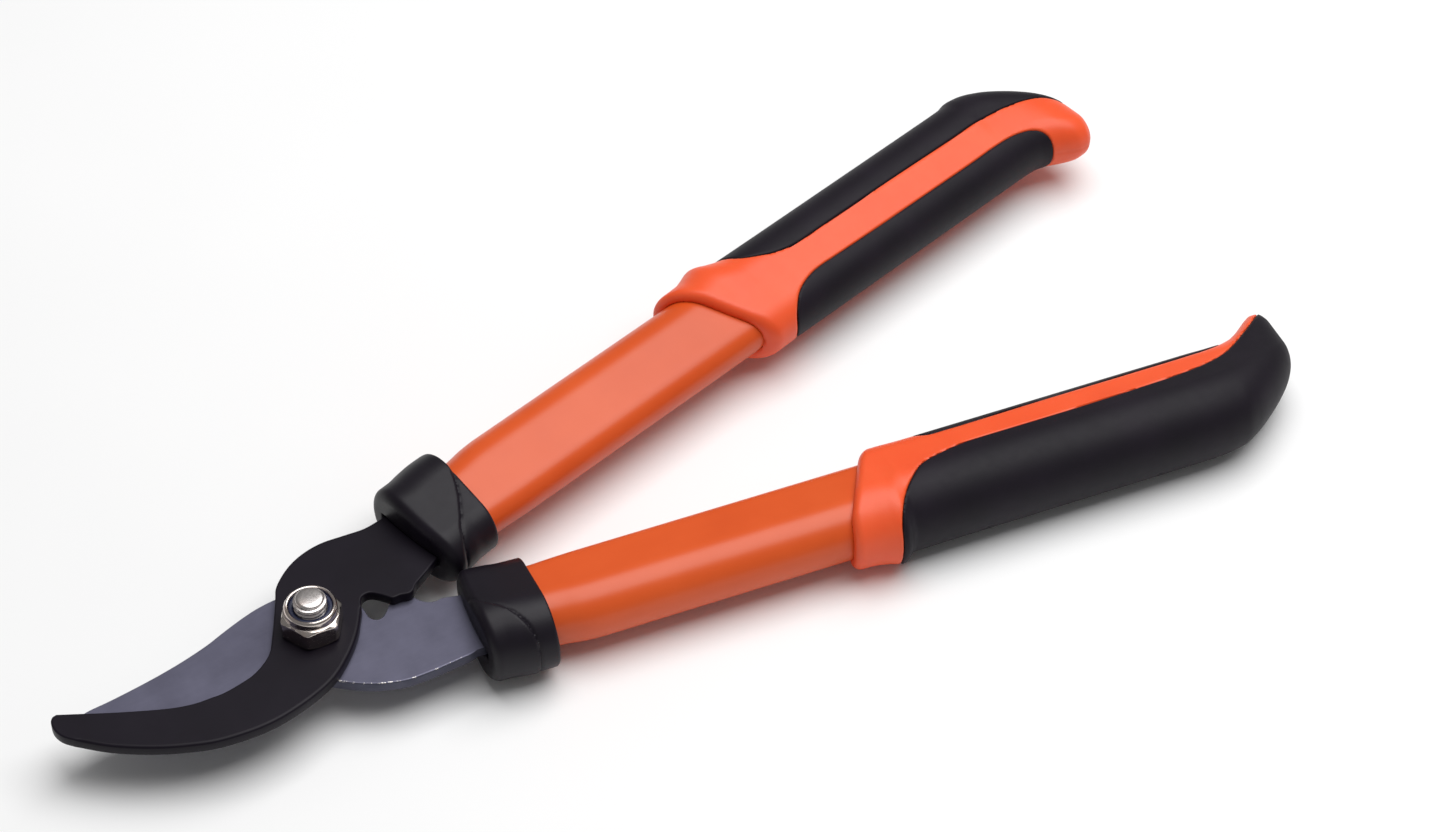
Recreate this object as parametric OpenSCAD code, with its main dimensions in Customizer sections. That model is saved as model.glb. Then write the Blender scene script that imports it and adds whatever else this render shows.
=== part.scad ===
// Two-handed bypass lopper, lying on its back with the nut up and the jaws closed.
// Origin: centre of the bolt head's flat underside, on the pivot axis.
// +X runs along the middle of the two handles, +Y towards the hook jaw's handle,
// +Z up the pivot axis towards the nut. Lengths are in millimetres.

/* [Pivot] */
// Diameter of the pivot bolt
bolt_d = 10; // [8:0.5:12]
// Width across the flats of the nut and the bolt head
hex_af = 17; // [15:0.5:20]
// Height of the bolt head
head_h = 6.4; // [5:0.1:8]
// Outside diameter of the washer under the bolt head
washer_d = 21; // [18:0.5:26]
// Thickness of that washer
washer_t = 2; // [1:0.1:3]
// Height of the lock nut, with its collar
nut_h = 10; // [8:0.1:13]
// How far the bolt stands out of the nut
bolt_stand = 3.5; // [1:0.1:6]

/* [Jaws] */
// Reach of the hook jaw, from the pivot to its tip
jaw_len = 81; // [65:1:100]
// Thickness of the hook plate
hook_t = 3.5; // [2.6:0.1:4.5]
// Thickness of the blade plate
blade_t = 3.5; // [2.6:0.1:4.5]
// Width of the ground bevel along the cutting edge
bevel_w = 5; // [3:0.1:8]

/* [Handles] */
// Angle between each handle and the centre line when closed
splay = 11.2; // [9:0.1:15]
// Distance from the pivot to the upper handle's axis
upper_offset = 7; // [5:0.1:9]
// Distance from the pivot to the lower handle's axis
lower_offset = 13.5; // [11:0.1:16]
// Distance along a handle from the pivot to its ferrule
neck_len = 43.5; // [40:0.5:55]
// Length of the tang inside the handle
tang_len = 46; // [35:1:60]
// Width of the tang inside the tube
tang_w = 20; // [16:0.5:22]
// Width of the tube
tube_w = 30; // [28:0.5:36]
// Half thickness of the tube on its outer side
tube_ro = 10.2; // [9:0.1:12.5]
// Half thickness of the tube on its inner side
tube_ri = 7.2; // [6:0.1:8.8]
// Wall of the tube
tube_wall = 1.2; // [0.8:0.1:2]
// Length of the upper tube that shows between ferrule and grip
upper_show = 106; // [60:0.5:180]
// Length of the lower tube that shows between ferrule and grip
lower_show = 102; // [60:0.5:180]
// Length of tube held inside the grip
tube_hold = 80; // [50:1:90]
// Diameter of the rivets through the tang
rivet_d = 4; // [3:0.5:5]
// Distance between the rivets
rivet_pitch = 8; // [6:0.5:9]

/* [Ferrule] */
// Length of the ferrule
ferrule_len = 22; // [20:0.5:28]
// Wall of the ferrule round the tube
ferrule_wall = 2; // [1.6:0.1:3.5]

/* [Grip] */
// Length of the grip behind the middle of its collar
grip_len = 155; // [130:1:185]
// Wall of the grip beside the tube
grip_side = 3.9; // [3.2:0.1:6]
// Wall of the grip above and below the tube
grip_top = 3.5; // [3.2:0.1:5]
// How far the collar stands proud of the grip
collar_lip = 1.2; // [0.6:0.1:2]
// How far the end of the grip hooks inwards
hook_out = 6.5; // [4:0.5:9]
// Thickness of the soft pads
pad_t = 1.8; // [1.2:0.1:2.6]

/* [Fits] */
// Radial clearance of the pivot bolt in the plates
pivot_fit = 0.05; // [0.02:0.01:0.1]
// Clearance between faces that slide on each other
slide_gap = 0.1; // [0.05:0.05:0.3]
// Gap left between the two ferrules when closed
stop_gap = 0.4; // [0.3:0.1:1]
// Clearance between pieces that are assembled and do not move
seat_fit = 0.05; // [0.02:0.01:0.1]

/* [Hidden] */

round_fn = 96;
curve_steps = 5;
eps = 0.01;
far = 400;

// Levels up the pivot axis
blade_z = head_h + washer_t + slide_gap;
hook_z = blade_z + blade_t + slide_gap;
nut_z = hook_z + hook_t;
bolt_top = nut_z + nut_h + bolt_stand;
upper_z = hook_z + hook_t / 2;
lower_z = blade_z + blade_t / 2;

// Stations along a handle, from the pivot
ferrule_back = neck_len + ferrule_len;
tube_x = neck_len + 6;
upper_collar = ferrule_back + upper_show;
lower_collar = ferrule_back + lower_show;
rivet_x = neck_len + 10.5;

// The grip's reach from the handle's axis, and its half thicknesses
grip_w = tube_w / 2 + grip_side;
grip_ro = tube_ro + grip_top;
grip_ri = tube_ri + grip_top;

// ---------- Curves ----------

// Point at t on the smooth curve from b to c, with a and d as its neighbours
function smooth(a, b, c, d, t) =
    0.5 * ((2 * b) + (c - a) * t + (2 * a - 5 * b + 4 * c - d) * t * t
           + (3 * b - 3 * c + d - a) * t * t * t);

// Smooth curve through the points p, with its ends left free
function curve(p, n = curve_steps) =
    let (last = len(p) - 1)
    concat([for (i = [0 : last - 1]) for (k = [0 : n - 1])
                smooth(p[max(i - 1, 0)], p[i], p[i + 1], p[min(i + 2, last)], k / n)],
           [p[last]]);

// Points on a handle, from its own axes to the tool's; side is 1 for upper and -1 for lower
function on_handle(side, offset, p) =
    [p.x * cos(splay) - (p.y + offset) * sin(splay),
     side * (p.x * sin(splay) + (p.y + offset) * cos(splay))];

function upper(p) = [for (q = p) on_handle(1, upper_offset, q)];
function lower(p) = [for (q = p) on_handle(-1, lower_offset, q)];

// The jaws are drawn at a reach of 81; beyond the pivot's hub they stretch with jaw_len
hub = 14;
function stretch(p) =
    [for (q = p) [q.x < -hub ? -hub + (q.x + hub) * (jaw_len - hub) / (81 - hub) : q.x, q.y]];

function reversed(p) = [for (i = [len(p) - 1 : -1 : 0]) p[i]];

// ---------- Sections ----------

// Egg-shaped section: radius ro on the outer side, ri on the inner side.
// It reaches from -y_in to y_out. Its flats lie a hair inside the circles' common tangents,
// so that they cross the circles cleanly.
module egg(y_out, y_in, ro, ri) {
    hair = 0.02;
    co = y_out - ro;
    ci = y_in - ri;
    tilt = asin((ro - ri) / (co + ci));
    po = (ro - hair) * [-sin(tilt), cos(tilt)] + [co, 0];
    pi = (ri - hair) * [-sin(tilt), cos(tilt)] - [ci, 0];
    translate([co, 0])
        circle(r = ro, $fn = round_fn);
    translate([-ci, 0])
        circle(r = ri, $fn = round_fn);
    polygon([[po.x, -po.y], po, pi, [pi.x, -pi.y]]);
}

// Tube section grown by g all round
module tube_egg(g) {
    egg(tube_w / 2 + g, tube_w / 2 + g, tube_ro + g, tube_ri + g);
}

// Runs a section along the handle from x0 to x1
module run(x0, x1) {
    translate([x0, 0, 0])
        rotate([90, 0, 90])
            linear_extrude(height = x1 - x0)
                children();
}

// Side view outline (x, z) taken right across the handle
module across() {
    rotate([90, 0, 0])
        linear_extrude(height = far, center = true)
            children();
}

// Plan view outline (x, y) taken right through the handle
module through() {
    linear_extrude(height = far, center = true)
        children();
}

module on_upper() {
    translate([0, 0, upper_z])
        rotate([0, 0, splay])
            translate([0, upper_offset, 0])
                children();
}

module on_lower() {
    translate([0, 0, lower_z])
        mirror([0, 1, 0])
            rotate([0, 0, splay])
                translate([0, lower_offset, 0])
                    children();
}

module rivet_holes(r) {
    for (i = [0, 1])
        translate([rivet_x + i * rivet_pitch, 0, 0])
            cylinder(r = r, h = far, center = true, $fn = round_fn);
}

// ---------- Plates ----------

// Tang outline in the handle's own axes, from its outer to its inner side
shoulder_w = tang_w + 4;
tang_end = neck_len + tang_len;
tang_step = tube_x - 1;
tang_side = [[neck_len + 1, shoulder_w / 2], [tang_step - 2, shoulder_w / 2], [tang_step, tang_w / 2],
             [tang_end - 3, tang_w / 2], [tang_end, tang_w / 2 - 3]];
tang_back = [for (q = reversed(tang_side)) [q.x, -q.y]];

// Hook jaw: the tip, the hooked inner edge, the shoulder, the tang and the round back.
// The points beside the ferrule's mouth are in the handle's own axes, so they turn with it.
hook_inner = stretch([[-78, 11.6], [-71.2, 7.6], [-58.3, 0.2], [-48, -4.8], [-41, -7],
                      [-33.5, -7.8], [-24, -6.6], [-18, -3.9], [-14.4, -0.6]]);
hook_front = concat([[-14.4, -0.6], [-9.4, 7], [-4.3, 15.2], [-1.2, 20], [5, 24.6], [11.5, 27.1],
                     [18.3, 27.8], [25.7, 26.7], [32, 25.8]],
                    upper([[neck_len - 1.1, 11.5]]));
hook_scallops = concat(upper([[neck_len - 4.6, -13.9]]),
                       [[35.4, -1.2], [32.8, -3.2], [30.3, -4.1], [27.8, -3.4], [25.2, -2.8],
                        [22.7, 0.5], [20.4, 2.6], [17.6, 2.2], [15.8, -1.1]]);
hook_back = stretch([[15.8, -1.1], [10.3, -8.6], [3.6, -15], [-5.2, -20.8], [-17.2, -24.2], [-29.3, -25.2],
                     [-42.2, -23.2], [-51, -19.8], [-60, -14.9], [-70, -7.6], [-77.5, 0]]);
hook_tip = stretch([[-77.5, 0], [-80.8, 5.4], [-80.9, 9.8], [-78, 11.6]]);

module hook_shape() {
    polygon(concat(curve(hook_inner), curve(hook_front), upper(tang_side), upper(tang_back),
                   curve(hook_scallops), curve(hook_back), curve(hook_tip)));
}

module hook_jaw() {
    color([0.15, 0.14, 0.17])
        difference() {
            translate([0, 0, hook_z])
                linear_extrude(height = hook_t)
                    hook_shape();
            cylinder(d = bolt_d + 2 * pivot_fit, h = far, $fn = round_fn);
            on_upper()
                rivet_holes(rivet_d / 2 + seat_fit);
        }
}

// Cutting blade: the cutting edge is one arc from the heel to the tip
blade_tip = stretch([[-72.5, 9.6]])[0];
blade_heel = [-13.6, -10.6];
edge_rise = 10;
edge_chord = norm(blade_heel - blade_tip);
edge_r = (edge_chord * edge_chord / 4 + edge_rise * edge_rise) / (2 * edge_rise);
edge_dir = (blade_heel - blade_tip) / edge_chord;
edge_mid = (blade_heel + blade_tip) / 2 + (edge_r - edge_rise) * [-edge_dir.y, edge_dir.x];
function edge_angle(p) = atan2(p.y - edge_mid.y, p.x - edge_mid.x);
edge_steps = 24;
cutting_edge = [for (i = [0 : edge_steps])
    let (a = edge_angle(blade_tip) + (edge_angle(blade_heel) - edge_angle(blade_tip)) * i / edge_steps)
    edge_mid + edge_r * [cos(a), sin(a)]];
blade_belly = concat([[-13.6, -10.6], [-8.4, -14.8], [-4, -18.3], [0, -22], [4.2, -25.3], [9.1, -28.1],
                      [14.9, -30.3], [22.5, -31.3], [28, -31.6]],
                     lower([[neck_len - 4, 11.2]]));
blade_scallops = concat(lower([[neck_len - 2, -12.6]]),
                        [[37, -8.4], [34.9, -7.7], [33, -5.7], [31.2, -2.4], [27.9, -1.1], [24.8, -1.8],
                         [22.6, -3.8], [20.4, -5.3], [18.2, -5], [17, -2.8], [17.2, 0.2]]);
blade_spine = stretch([[17.2, 0.2], [16.4, 6], [12.5, 12], [6, 16.6], [-2, 18.6], [-8, 18.6], [-13, 17.9],
                       [-18, 16.8], [-29, 13.9], [-38.5, 12.3], [-49, 11.3], [-60.7, 10.8], [-69, 10.8],
                       [-72.5, 9.6]]);

module blade_shape() {
    polygon(concat(cutting_edge, curve(blade_belly), lower(tang_side), lower(tang_back),
                   curve(blade_scallops), curve(blade_spine)));
}

// Everything outside the cone of the ground bevel, on the underside of the cutting edge
module bevel_cutter() {
    edge_land = 0.3;
    translate([edge_mid.x, edge_mid.y, blade_z])
        difference() {
            cylinder(r = edge_r + 2 * bevel_w, h = blade_t - edge_land, $fn = 256);
            translate([0, 0, -eps])
                cylinder(r1 = edge_r - bevel_w, r2 = edge_r + eps, h = blade_t - edge_land + eps, $fn = 256);
        }
}

module cutting_blade() {
    color([0.4, 0.4, 0.46])
        difference() {
            translate([0, 0, blade_z])
                linear_extrude(height = blade_t)
                    blade_shape();
            intersection() {
                bevel_cutter();
                translate([-far - hub, -far / 2, 0])
                    cube([far, far, far]);
            }
            cylinder(d = bolt_d + 2 * pivot_fit, h = far, $fn = round_fn);
            on_lower()
                rivet_holes(rivet_d / 2 + seat_fit);
        }
}

// ---------- Pivot ----------

// Hexagon prism whose corners are turned off by a cone at the top
module chamfered_hex(h) {
    corner_r = hex_af / sqrt(3);
    crown = corner_r - hex_af / 2;
    intersection() {
        cylinder(r = corner_r, h = h, $fn = 6);
        union() {
            cylinder(r = corner_r, h = h - crown / 2, $fn = round_fn);
            translate([0, 0, h - crown / 2])
                cylinder(r1 = corner_r, r2 = hex_af / 2 - crown * 0.2, h = crown / 2, $fn = round_fn);
        }
    }
}

module pivot_bolt() {
    crest = bolt_d / 2;
    tip_chamfer = bolt_d / 10;
    groove_pitch = 1;
    grooves = floor((bolt_stand - tip_chamfer - 0.9) / groove_pitch) + 1;
    color([0.78, 0.78, 0.76])
        difference() {
            union() {
                translate([0, 0, head_h])
                    mirror([0, 0, 1])
                        chamfered_hex(head_h);
                cylinder(r = crest, h = bolt_top - tip_chamfer, $fn = round_fn);
                translate([0, 0, bolt_top - tip_chamfer])
                    cylinder(r1 = crest, r2 = crest - tip_chamfer, h = tip_chamfer, $fn = round_fn);
            }
            for (i = [0 : 1 : grooves - 1])
                translate([0, 0, bolt_top - tip_chamfer - 0.5 - i * groove_pitch])
                    rotate_extrude($fn = round_fn)
                        polygon([[crest - 0.5, 0], [crest + eps, -0.4], [crest + eps, 0.4]]);
        }
}

module head_washer() {
    color([0.75, 0.75, 0.73])
        translate([0, 0, head_h])
            difference() {
                cylinder(d = washer_d, h = washer_t, $fn = round_fn);
                translate([0, 0, -1])
                    cylinder(d = bolt_d + 2 * pivot_fit, h = washer_t + 2, $fn = round_fn);
            }
}

// The nut's hexagon, its thin round collar, and the groove inside that holds the ring
nut_collar_r = hex_af * 0.45;
nut_turn = -7;
nut_hex_h = nut_h * 0.72;
insert_h = nut_h - nut_hex_h - 0.6;
insert_r = nut_collar_r - 1.2;

module pivot_nut() {
    color([0.8, 0.8, 0.78])
        translate([0, 0, nut_z])
            difference() {
                union() {
                    rotate([0, 0, nut_turn])
                        chamfered_hex(nut_hex_h);
                    cylinder(r = nut_collar_r, h = nut_h, $fn = round_fn);
                }
                translate([0, 0, -1])
                    cylinder(r = bolt_d / 2 + seat_fit, h = nut_h + 2, $fn = round_fn);
                translate([0, 0, nut_hex_h])
                    cylinder(r = insert_r, h = insert_h, $fn = round_fn);
                translate([0, 0, nut_hex_h])
                    cylinder(r = insert_r - 0.3, h = nut_h, $fn = round_fn);
            }
}

module nut_insert() {
    color([0.12, 0.14, 0.25])
        translate([0, 0, nut_z + nut_hex_h])
            difference() {
                cylinder(r = insert_r, h = insert_h, $fn = round_fn);
                translate([0, 0, -1])
                    cylinder(r = bolt_d / 2 + seat_fit, h = insert_h + 2, $fn = round_fn);
            }
}

// ---------- Handle pieces, each in the handle's own axes ----------

// Slot for the flat tang, with room all round it
module tang_slot(t, w, x0, x1) {
    translate([x0, -w / 2 - seat_fit, -t / 2 - seat_fit])
        cube([x1 - x0, w + 2 * seat_fit, t + 2 * seat_fit]);
}

module tube(collar_x) {
    tube_end = collar_x + tube_hold;
    difference() {
        run(tube_x, tube_end)
            tube_egg(0);
        run(tube_x - 1, tube_end + 1)
            tube_egg(-tube_wall);
        rivet_holes(rivet_d / 2 + seat_fit);
    }
}

module tang_plug(t) {
    plug_end = tang_end + 4;
    difference() {
        run(tube_x, plug_end)
            tube_egg(-tube_wall - seat_fit);
        tang_slot(t, tang_w, tube_x - 1, tang_end + seat_fit);
        rivet_holes(rivet_d / 2 + seat_fit);
    }
}

module rivets() {
    intersection() {
        rivet_holes(rivet_d / 2);
        run(tube_x, tang_end)
            tube_egg(0);
    }
}

// Inner half width of the ferrules that leaves stop_gap between them when closed
stop_x = neck_len + 3;
stop_w = stop_x * tan(splay) + (upper_offset + lower_offset) / 2 - stop_gap / (2 * cos(splay));
ferrule_w = tube_w / 2 + ferrule_wall;
nose_w = ferrule_w + 1.4;
nose_z = tube_ro + ferrule_wall;

// Plan of the ferrule: its outer side bulges at the nose, its inner side at the stop
ferrule_plan = concat(
    curve([[ferrule_back, -ferrule_w], [ferrule_back - 6, -ferrule_w - 0.1], [neck_len + 9, -stop_w + 1.2],
           [stop_x, -stop_w], [neck_len + 0.7, -stop_w + 2.8], [neck_len - 0.4, -10]]),
    curve([[neck_len, 7], [neck_len + 0.6, 12.5], [neck_len + 3.4, nose_w - 1.4], [neck_len + 7, nose_w],
           [neck_len + 12, nose_w - 0.3], [ferrule_back - 5, ferrule_w], [ferrule_back, ferrule_w]]));

// Side view of the ferrule's upper half: full height at the back, rounded down over the nose
nose_side = curve([[neck_len + 12, nose_z + 1], [neck_len + 6, nose_z + 0.4], [neck_len + 2, nose_z - 2.6],
                   [neck_len - 0.4, nose_z - 7], [neck_len - 0.5, 2]]);

module ferrule(t) {
    difference() {
        intersection() {
            run(neck_len - 1, ferrule_back)
                egg(nose_w, max(stop_w, ferrule_w), tube_ro + ferrule_wall, tube_ri + ferrule_wall);
            through()
                polygon(ferrule_plan);
            across()
                polygon(concat([[ferrule_back + 1, -nose_z - 1], [ferrule_back + 1, nose_z + 1]], nose_side,
                               [for (q = reversed(nose_side)) [q.x, -q.y]]));
        }
        run(tube_x - seat_fit, ferrule_back + 1)
            tube_egg(seat_fit);
        tang_slot(t, shoulder_w + 1, neck_len - 2, tube_x);
    }
}

// ---------- Grip ----------

// Each grip is drawn with the middle of its collar at x = 0 and its end at grip_len.

// Plan of the grip, drawn smaller by g: the collar's inner corner, the hooked end,
// the rounded outer side of the end, then the collar's front edge, cut on a slant.
// Where the plan stands clear of the sections it does not cut them.
clear = 3;

function grip_plan(g) =
    let (e = grip_len - g, w = tube_w / 2 + grip_side - g, k = hook_out)
    concat(
        [[7.5 + g, -w - clear], [e - 30, -w - clear]],
        curve([[e - 24, -w - 2], [e - 20, -w - 1.6], [e - 15, -w - k * 0.62], [e - 9, -w - k],
               [e - 5, -w - k * 0.86], [e - 1.5, -w - k * 0.2], [e, -w * 0.75], [e - 1, -w * 0.3],
               [e - 5, w * 0.06], [e - 10, w * 0.34], [e - 16.5, w * 0.64], [e - 22, w * 0.84],
               [e - 27, w * 0.97], [e - 32, w + 1]], 3),
        [[e - 36, w + clear], [g - 9.5, w + clear], [g - 8.5, w - 1], [g + 6.5, -w + 1]]);

// Side view of the grip, drawn smaller by g, with its end rounded to an ellipse
function grip_side_view(g) =
    let (r = grip_ro + 0.6, n = 12, taper = 26)
    concat([[-40, -r]],
           [for (i = [0 : n]) let (a = -90 + 180 * i / n)
               [grip_len - taper + (taper - g) * cos(a), (r - g) * sin(a)]],
           [[-40, r]]);

// The whole grip, drawn smaller by g all round: the handle's own run, the collar's band,
// and a third run, turned inwards, that leaves the first one gradually for the hooked end
module grip_body(g) {
    hook_r = grip_ri - 0.6 - g;
    hook_run = 36;
    lip = collar_lip;
    intersection() {
        union() {
            run(-30, grip_len + 1)
                egg(grip_w - g, grip_w - g, grip_ro - g, grip_ri - g);
            run(-30, 9 - g)
                egg(grip_w + lip / 2 - g, grip_w + lip - g, grip_ro + lip / 2 - g, grip_ri + lip / 2 - g);
            translate([grip_len - hook_run + g, grip_ri - grip_w, 0])
                rotate([0, 0, -2.2 * hook_out])
                    run(0, hook_run + 10)
                        egg(grip_w / 2, hook_r, hook_r, hook_r);
        }
        through()
            polygon(grip_plan(g));
        across()
            polygon(grip_side_view(g));
    }
}

// Plan regions that the two soft pads cover, moved by d at the front and at the stripe
function outer_region(d) =
    let (e = grip_len, w = grip_w)
    concat(
        curve([[14.5 + d.x, w + 6], [15.5 + d.x, w - 3.5], [19 + d.x, 8.5], [26 + d.x, 3], [35 + d.x, 0.4 + d.y],
               [50 + d.x, -0.3 + d.y], [80, -0.6 + d.y], [e - 36, -1 + d.y], [e - 24, -3 + d.y],
               [e - 13, -7 + d.y], [e - 4, -13 + d.y], [e + 8, -22 + d.y]]),
        [[e + 8, w + 20], [14.5 + d.x, w + 20]]);
function inner_region(d) =
    let (e = grip_len, w = grip_w)
    curve([[20 + d.x / 2, -w - 8], [20.5 + d.x / 2, -w + 3], [25 + d.x / 2, -13.5 + d.y / 2],
           [34 + d.x / 2, -10.6 + d.y], [50, -10.5 + d.y], [80, -10.8 + d.y], [e - 36, -11 + d.y],
           [e - 25, -12 + d.y], [e - 17.5, -14.5 + d.y / 2], [e - 14.5, -19], [e - 16, -w - 4],
           [e - 18, -w - hook_out - 6]]);

module outer_pad(d) {
    difference() {
        intersection() {
            grip_body(0);
            through()
                polygon(outer_region(d));
        }
        grip_body(pad_t);
    }
}

module inner_pad(d) {
    difference() {
        intersection() {
            grip_body(0);
            through()
                polygon(inner_region(d));
        }
        grip_body(pad_t);
    }
}

module grip_core(d) {
    difference() {
        union() {
            grip_body(pad_t);
            difference() {
                grip_body(0);
                through()
                    polygon(outer_region(d));
                through()
                    polygon(inner_region(d));
            }
        }
        run(-40, tube_hold + seat_fit)
            tube_egg(seat_fit);
    }
}

module upper_grip() {
    on_upper()
        translate([upper_collar, 0, 0])
            children();
}

module lower_grip() {
    on_lower()
        translate([lower_collar, 0, 0])
            children();
}

upper_shift = [0, 0];
lower_shift = [-7, -3];

// ---------- The named pieces ----------

orange_paint = [0.86, 0.36, 0.16];
orange_plastic = [0.96, 0.4, 0.2];
black_soft = [0.12, 0.11, 0.13];
black_hard = [0.1, 0.1, 0.12];
grey_nylon = [0.35, 0.35, 0.36];
rivet_steel = [0.6, 0.6, 0.6];

module upper_tang_plug() { color(grey_nylon) on_upper() tang_plug(hook_t); }
module upper_rivets() { color(rivet_steel) on_upper() rivets(); }
module upper_tube() { color(orange_paint) on_upper() tube(upper_collar); }
module upper_ferrule() { color(black_hard) on_upper() ferrule(hook_t); }
module upper_grip_core() { color(orange_plastic) upper_grip() grip_core(upper_shift); }
module upper_outer_pad() { color(black_soft) upper_grip() outer_pad(upper_shift); }
module upper_inner_pad() { color(black_soft) upper_grip() inner_pad(upper_shift); }
module lower_tang_plug() { color(grey_nylon) on_lower() tang_plug(blade_t); }
module lower_rivets() { color(rivet_steel) on_lower() rivets(); }
module lower_tube() { color(orange_paint) on_lower() tube(lower_collar); }
module lower_ferrule() { color(black_hard) on_lower() ferrule(blade_t); }
module lower_grip_core() { color(orange_plastic) lower_grip() grip_core(lower_shift); }
module lower_outer_pad() { color(black_soft) lower_grip() outer_pad(lower_shift); }
module lower_inner_pad() { color(black_soft) lower_grip() inner_pad(lower_shift); }

cutting_blade();
hook_jaw();
pivot_bolt();
head_washer();
pivot_nut();
nut_insert();
upper_tang_plug();
upper_rivets();
upper_tube();
upper_ferrule();
upper_grip_core();
upper_outer_pad();
upper_inner_pad();
lower_tang_plug();
lower_rivets();
lower_tube();
lower_ferrule();
lower_grip_core();
lower_outer_pad();
lower_inner_pad();
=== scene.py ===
import math

import bpy
import numpy as np
from mathutils import Matrix, Vector


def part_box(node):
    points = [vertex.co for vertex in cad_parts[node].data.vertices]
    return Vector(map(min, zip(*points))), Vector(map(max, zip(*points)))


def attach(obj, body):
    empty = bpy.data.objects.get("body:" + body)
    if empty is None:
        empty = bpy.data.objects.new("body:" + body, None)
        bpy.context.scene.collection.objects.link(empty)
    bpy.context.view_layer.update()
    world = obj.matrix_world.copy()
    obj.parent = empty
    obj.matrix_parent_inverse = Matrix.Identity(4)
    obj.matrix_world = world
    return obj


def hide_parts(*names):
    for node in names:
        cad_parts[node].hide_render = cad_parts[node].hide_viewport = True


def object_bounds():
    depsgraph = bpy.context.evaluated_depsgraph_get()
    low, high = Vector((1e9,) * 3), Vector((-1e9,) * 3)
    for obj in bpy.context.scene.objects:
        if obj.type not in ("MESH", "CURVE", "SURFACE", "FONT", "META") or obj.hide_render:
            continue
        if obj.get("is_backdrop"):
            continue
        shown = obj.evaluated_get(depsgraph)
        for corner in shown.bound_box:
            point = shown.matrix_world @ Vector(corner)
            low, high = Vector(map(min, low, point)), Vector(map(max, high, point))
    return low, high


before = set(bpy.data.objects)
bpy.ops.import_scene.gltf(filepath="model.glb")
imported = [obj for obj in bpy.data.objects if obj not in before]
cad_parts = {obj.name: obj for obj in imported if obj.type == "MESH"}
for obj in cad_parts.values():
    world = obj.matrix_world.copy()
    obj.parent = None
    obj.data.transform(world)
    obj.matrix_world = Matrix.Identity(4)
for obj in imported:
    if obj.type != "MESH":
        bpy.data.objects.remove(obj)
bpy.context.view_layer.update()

# Two-handed bypass lopper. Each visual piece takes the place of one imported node.
# Lengths are in millimetres unless a comment says metres, and MM turns them into metres.
MM = 0.001


def cad_box(node):
    """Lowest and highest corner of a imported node, in millimetres."""
    lo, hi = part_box(node)
    return np.array(lo) / MM, np.array(hi) / MM


# ---------------------------------------------------------------- numbers shared with the CAD
BLADE_LO, BLADE_HI = cad_box("cutting_blade")[0][2], cad_box("cutting_blade")[1][2]
HOOK_LO, HOOK_HI = cad_box("hook_jaw")[0][2], cad_box("hook_jaw")[1][2]
BOLT_TOP = cad_box("pivot_bolt")[1][2]
NUT_LO, NUT_HI = cad_box("pivot_nut")[0][2], cad_box("pivot_nut")[1][2]
WASHER_LO, WASHER_HI = cad_box("head_washer")[0][2], cad_box("head_washer")[1][2]
WASHER_R = cad_box("head_washer")[1][0]
SPLAY = math.radians(11.2)
# Hexagon of the nut and of the bolt's head: width across its flats, and turn. Then the bolt's radius
HEX_AF = 17.0
HEX_TURN = math.radians(-7)
BOLT_R = 5.0
# Half width of the handle tubes, their outer and inner edge radius, their front end along the handle,
# and how far behind the collar's front they end
TUBE_W, TUBE_RO, TUBE_RI = 15.0, 10.2, 7.2
TUBE_START = 50.0
TUBE_IN_GRIP = 79.0


class Handle:
    """One handle's own axes: x along it from the pivot's foot, y outwards, z from its mid-plane.

    side is 1 for the upper handle and -1 for the lower, which mirrors it. offset is how far the axis
    passes from the pivot. collar and end are where the grip's collar and the grip's tip lie along x.
    """

    def __init__(self, name, body, side, offset, mid, collar, end):
        self.name, self.body, self.side = name, body, side
        self.offset, self.mid, self.collar, self.end = offset, mid, collar, end

    def place(self, p):
        """Points in the handle's axes, moved to the part's frame."""
        p = np.asarray(p, float)
        y = p[:, 1] + self.offset
        return np.stack([p[:, 0] * math.cos(SPLAY) - y * math.sin(SPLAY),
                         self.side * (p[:, 0] * math.sin(SPLAY) + y * math.cos(SPLAY)),
                         p[:, 2] + self.mid], 1)


UPPER = Handle("upper", "hook_half", 1, 7.0, (HOOK_LO + HOOK_HI) / 2, 171.2, 327.2)
LOWER = Handle("lower", "blade_half", -1, 13.5, (BLADE_LO + BLADE_HI) / 2, 167.6, 321.0)


# ---------------------------------------------------------------- mesh helpers
def outward(verts, faces):
    """The faces, all turned round if the closed mesh is inside out."""
    v = np.asarray(verts)
    volume = 0.0
    for size in {len(f) for f in faces}:
        f = np.array([g for g in faces if len(g) == size])
        for k in range(1, size - 1):
            volume += np.einsum("ij,ij->", v[f[:, 0]], np.cross(v[f[:, k]], v[f[:, k + 1]]))
    return faces if volume > 0 else [tuple(f)[::-1] for f in faces]


def make_object(name, verts_mm, faces, materials, sharp_deg, face_slots=None):
    """Smooth-shaded object, with sharp edges above an angle and flat faces where many points meet."""
    faces = outward(verts_mm, faces)
    mesh = bpy.data.meshes.new(name)
    mesh.from_pydata((np.asarray(verts_mm) * MM).tolist(), [], [list(f) for f in faces])
    mesh.validate()
    for m in materials:
        mesh.materials.append(m)
    if face_slots is not None:
        mesh.polygons.foreach_set("material_index", np.asarray(face_slots, dtype=np.int32))
    mesh.shade_smooth()
    for face in mesh.polygons:
        if len(face.vertices) > 8:
            face.use_smooth = False
    mesh.set_sharp_from_angle(angle=math.radians(sharp_deg))
    mesh.update()
    obj = bpy.data.objects.new(name, mesh)
    bpy.context.scene.collection.objects.link(obj)
    return obj


def finish_piece(obj, body, node):
    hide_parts(node)
    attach(obj, body)


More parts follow.
